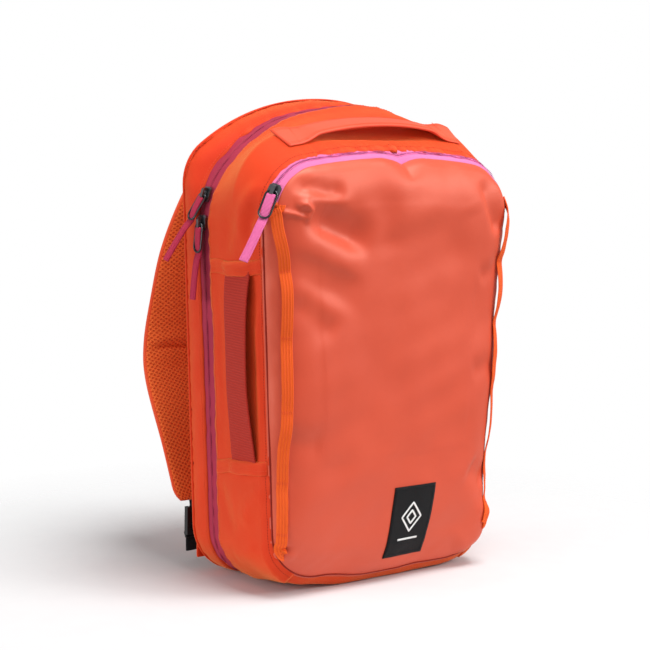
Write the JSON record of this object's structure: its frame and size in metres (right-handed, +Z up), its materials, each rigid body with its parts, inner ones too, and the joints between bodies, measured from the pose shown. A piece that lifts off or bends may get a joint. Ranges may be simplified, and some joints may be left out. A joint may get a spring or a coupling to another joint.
{
  "type": "daypack",
  "caption": "Clamshell daypack with a domed front pocket, daisy chains, a hauling handle, a side handle, contrast zips and padded air-mesh shoulder straps.",
  "frame": {"origin": "centre of the flat base, on the surface that the bag stands on", "axes": "+Z up; the front pocket faces -Y and the wearer's back is at +Y; +X is to the right when looking at the front pocket"},
  "size_m": [0.3141, 0.2513, 0.439],
  "materials": {
    "shell_fabric": "matte",
    "coated_fabric": "satin",
    "lining": "matte",
    "elastic": "matte",
    "binding": "matte",
    "frame_sheet": "satin",
    "foam": "matte",
    "air_mesh": "matte",
    "pocket_mesh": "matte",
    "inner_zip": "matte",
    "main_zip_tape": "matte",
    "zip_coil": "satin",
    "pocket_zip_tape": "matte",
    "side_webbing": "matte",
    "daisy_webbing": "matte",
    "bartack_thread": "matte",
    "label": "matte",
    "slider_metal": "polished",
    "main_ribbon": "matte",
    "pocket_ribbon": "matte",
    "buckle_plastic": "satin",
    "strap_webbing_black": "matte"
  },
  "bodies": {
    "rear_half": {"rear_gusset": "shell_fabric", "bottom_panel": "shell_fabric", "base_pad": "foam", "rear_binding": "binding", "back_lining": "lining", "frame_sheet": "frame_sheet", "back_foam": "foam", "back_mesh": "air_mesh", "laptop_sleeve": "lining", "sleeve_strap": "elastic", "strap_yoke": "shell_fabric", "main_zip_tape_rear": "main_zip_tape", "main_zip_coil_rear": "zip_coil", "anchor_wing_left": "shell_fabric", "anchor_wing_right": "shell_fabric", "adjust_webbing_left": "strap_webbing_black", "adjust_webbing_right": "strap_webbing_black"},
    "front_half": {"front_gusset": "shell_fabric", "front_panel": "coated_fabric", "pocket_divider": "lining", "front_binding": "binding", "inner_mesh_pocket": "pocket_mesh", "inner_pocket_zip": "inner_zip", "main_zip_tape_front": "main_zip_tape", "main_zip_coil_front": "zip_coil", "pocket_zip_tape_upper": "pocket_zip_tape", "pocket_zip_tape_lower": "pocket_zip_tape", "pocket_zip_coil_upper": "zip_coil", "pocket_zip_coil_lower": "zip_coil", "top_handle": "shell_fabric", "side_handle": "side_webbing", "handle_hem_upper": "shell_fabric", "handle_hem_lower": "shell_fabric", "daisy_chain_left": "daisy_webbing", "daisy_chain_right": "daisy_webbing", "daisy_bartacks": "bartack_thread", "label_patch": "label"},
    "upper_slider": {"main_slider_upper": "slider_metal"},
    "upper_puller": {"main_slider_upper_ring": "slider_metal", "main_slider_upper_ribbon": "main_ribbon"},
    "lower_slider": {"main_slider_lower": "slider_metal"},
    "lower_puller": {"main_slider_lower_ring": "slider_metal", "main_slider_lower_ribbon": "main_ribbon"},
    "pocket_slider": {"pocket_slider": "slider_metal"},
    "pocket_puller": {"pocket_slider_ring": "slider_metal", "pocket_slider_ribbon": "pocket_ribbon"},
    "strap_left": {"strap_pad_left": "foam", "strap_mesh_left": "air_mesh", "strap_face_left": "shell_fabric", "strap_webbing_left": "strap_webbing_black"},
    "ladderlock_left": {"ladderlock_left": "buckle_plastic", "webbing_tail_left": "strap_webbing_black"},
    "strap_right": {"strap_pad_right": "foam", "strap_mesh_right": "air_mesh", "strap_face_right": "shell_fabric", "strap_webbing_right": "strap_webbing_black"},
    "ladderlock_right": {"ladderlock_right": "buckle_plastic", "webbing_tail_right": "strap_webbing_black"}
  },
  "joints": [
    {"name": "clamshell_fold", "type": "hinge", "parent": "rear_half", "child": "front_half", "pos_m": [0, -0.056, 0.024], "axis": [1, 0, 0], "range_deg": [0, 90]},
    {"name": "upper_slider_travel", "type": "hinge", "parent": "rear_half", "child": "upper_slider", "pos_m": [-0.064, 0.032, 0.33], "axis": [0, 1, 0], "range_deg": [0, 24]},
    {"name": "lower_slider_travel", "type": "slide", "parent": "rear_half", "child": "lower_slider", "axis": [0.0501, 0, -0.9987], "range_m": [0, 0.245]},
    {"name": "pocket_slider_travel", "type": "hinge", "parent": "front_half", "child": "pocket_slider", "pos_m": [-0.086, -0.06, 0.338], "axis": [0, 1, 0], "range_deg": [0, 52]},
    {"name": "upper_puller_swing", "type": "hinge", "parent": "upper_slider", "child": "upper_puller", "pos_m": [-0.14021, 0.032, 0.35624], "axis": [0.1006, 0.9511, 0.2922], "range_deg": [-3, 110]},
    {"name": "lower_puller_swing", "type": "hinge", "parent": "lower_slider", "child": "lower_puller", "pos_m": [-0.1446, 0.032, 0.33], "axis": [0, 0.9976, 0.0698], "range_deg": [-2.5, 46]},
    {"name": "pocket_puller_swing", "type": "hinge", "parent": "pocket_slider", "child": "pocket_puller", "pos_m": [-0.1334, -0.06276, 0.3632], "axis": [-0.5687, 0.797, 0.2037], "range_deg": [-5, 110]},
    {"name": "strap_swing_left", "type": "hinge", "parent": "rear_half", "child": "strap_left", "pos_m": [-0.044, 0.074, 0.398], "axis": [1, 0, 0], "range_deg": [0, 30], "deforming": ["adjust_webbing_left"]},
    {"name": "ladderlock_tilt_left", "type": "hinge", "parent": "strap_left", "child": "ladderlock_left", "pos_m": [-0.098, 0.099, 0.053], "axis": [1, 0, 0], "range_deg": [-10, 60]},
    {"name": "strap_swing_right", "type": "hinge", "parent": "rear_half", "child": "strap_right", "pos_m": [0.044, 0.074, 0.398], "axis": [1, 0, 0], "range_deg": [0, 30], "deforming": ["adjust_webbing_right"]},
    {"name": "ladderlock_tilt_right", "type": "hinge", "parent": "strap_right", "child": "ladderlock_right", "pos_m": [0.098, 0.099, 0.053], "axis": [1, 0, 0], "range_deg": [-10, 60]}
  ]
}
